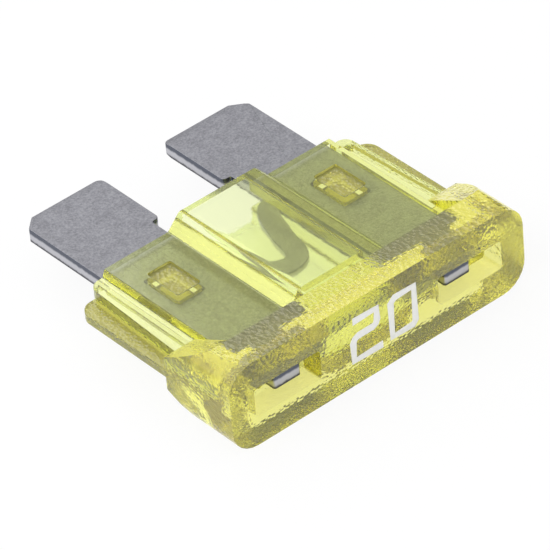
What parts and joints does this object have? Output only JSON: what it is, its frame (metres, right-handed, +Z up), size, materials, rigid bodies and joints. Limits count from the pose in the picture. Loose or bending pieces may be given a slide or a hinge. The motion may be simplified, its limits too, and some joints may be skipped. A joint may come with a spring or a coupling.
{
  "type": "automotive blade fuse",
  "caption": "Regular-size automotive blade fuse: clear yellow moulded housing round a stamped metal element with flat blades and a thin S-shaped link.",
  "frame": {"origin": "under the middle of the part, on the surface it lies on", "axes": "+X across the two blades, +Y from the head's end face to the blade tips, +Z up through the thickness"},
  "size_m": [0.019, 0.019, 0.0051],
  "materials": {
    "yellow_polycarbonate": "clear moulded, glossy, tinted yellow",
    "zinc_alloy": "matte rolled strip with sheared edges"
  },
  "bodies": {
    "root": {"housing": "yellow_polycarbonate", "fuse_element": "zinc_alloy"}
  },
  "joints": []
}
